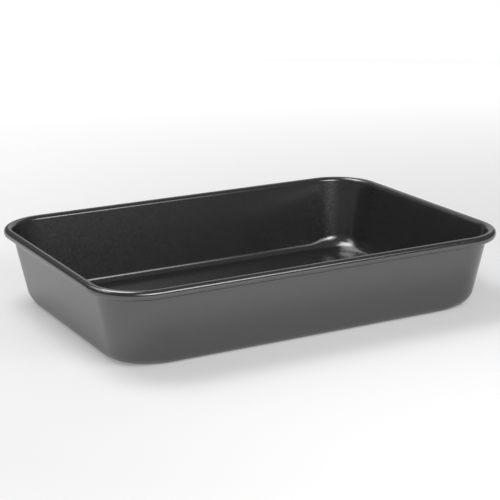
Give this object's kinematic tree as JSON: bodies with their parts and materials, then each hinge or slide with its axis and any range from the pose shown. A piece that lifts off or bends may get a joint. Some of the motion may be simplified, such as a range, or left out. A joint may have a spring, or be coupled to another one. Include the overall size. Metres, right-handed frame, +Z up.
{
  "type": "roasting pan",
  "caption": "Deep rectangular roasting pan of dark non-stick coated steel sheet, with leaning walls, rounded corners and a round rim rolled over a stiffening wire.",
  "frame": {"origin": "middle of the flat base, on the surface that the pan stands on", "axes": "+X along the length, +Y across the width, +Z up out of the open top"},
  "size_m": [0.4, 0.28, 0.072],
  "materials": {
    "nonstick_coat": "dark grey baked non-stick coat, semi-gloss, with a fine speckle",
    "wire_steel": "plain drawn steel wire"
  },
  "bodies": {
    "root": {"pan_shell": "nonstick_coat", "rim_wire": "wire_steel"}
  },
  "joints": []
}
